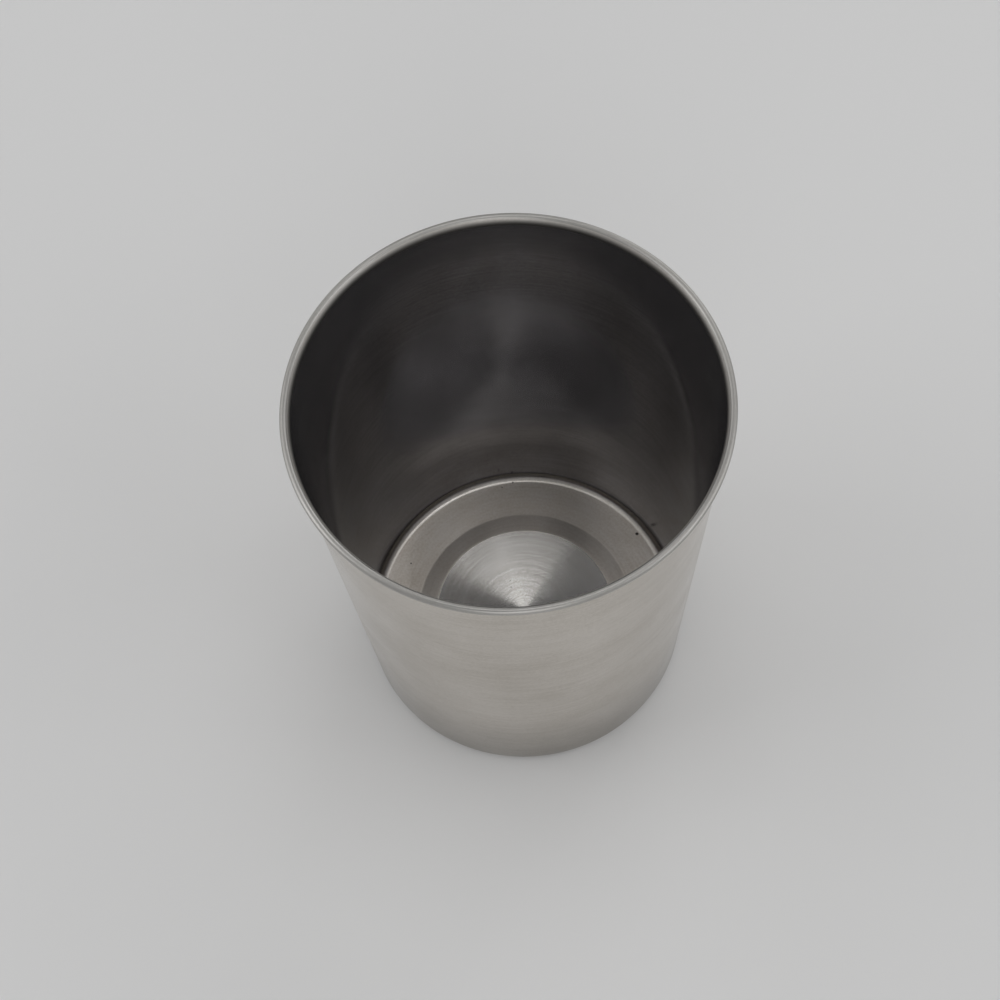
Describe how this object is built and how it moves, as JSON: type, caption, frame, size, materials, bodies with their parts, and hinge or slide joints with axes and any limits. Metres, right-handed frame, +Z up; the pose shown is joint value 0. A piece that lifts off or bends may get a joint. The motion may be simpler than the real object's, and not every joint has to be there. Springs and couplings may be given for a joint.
{
  "type": "deep drawn cup",
  "caption": "Tapered cup drawn from one sheet of stainless steel, with a stepped flat floor, a small corner radius and a rim rolled outwards, to hold a drink or small items.",
  "frame": {"origin": "middle of the base, on the table", "axes": "+Z up along the cup's axis, out of its mouth; X and Y level, with no preferred turn"},
  "size_m": [0.076, 0.076, 0.0905],
  "materials": {
    "stainless_steel": "satin stainless steel, with fine lines round the wall and turned rings on the floor"
  },
  "bodies": {
    "root": {"cup": "stainless_steel"}
  },
  "joints": []
}
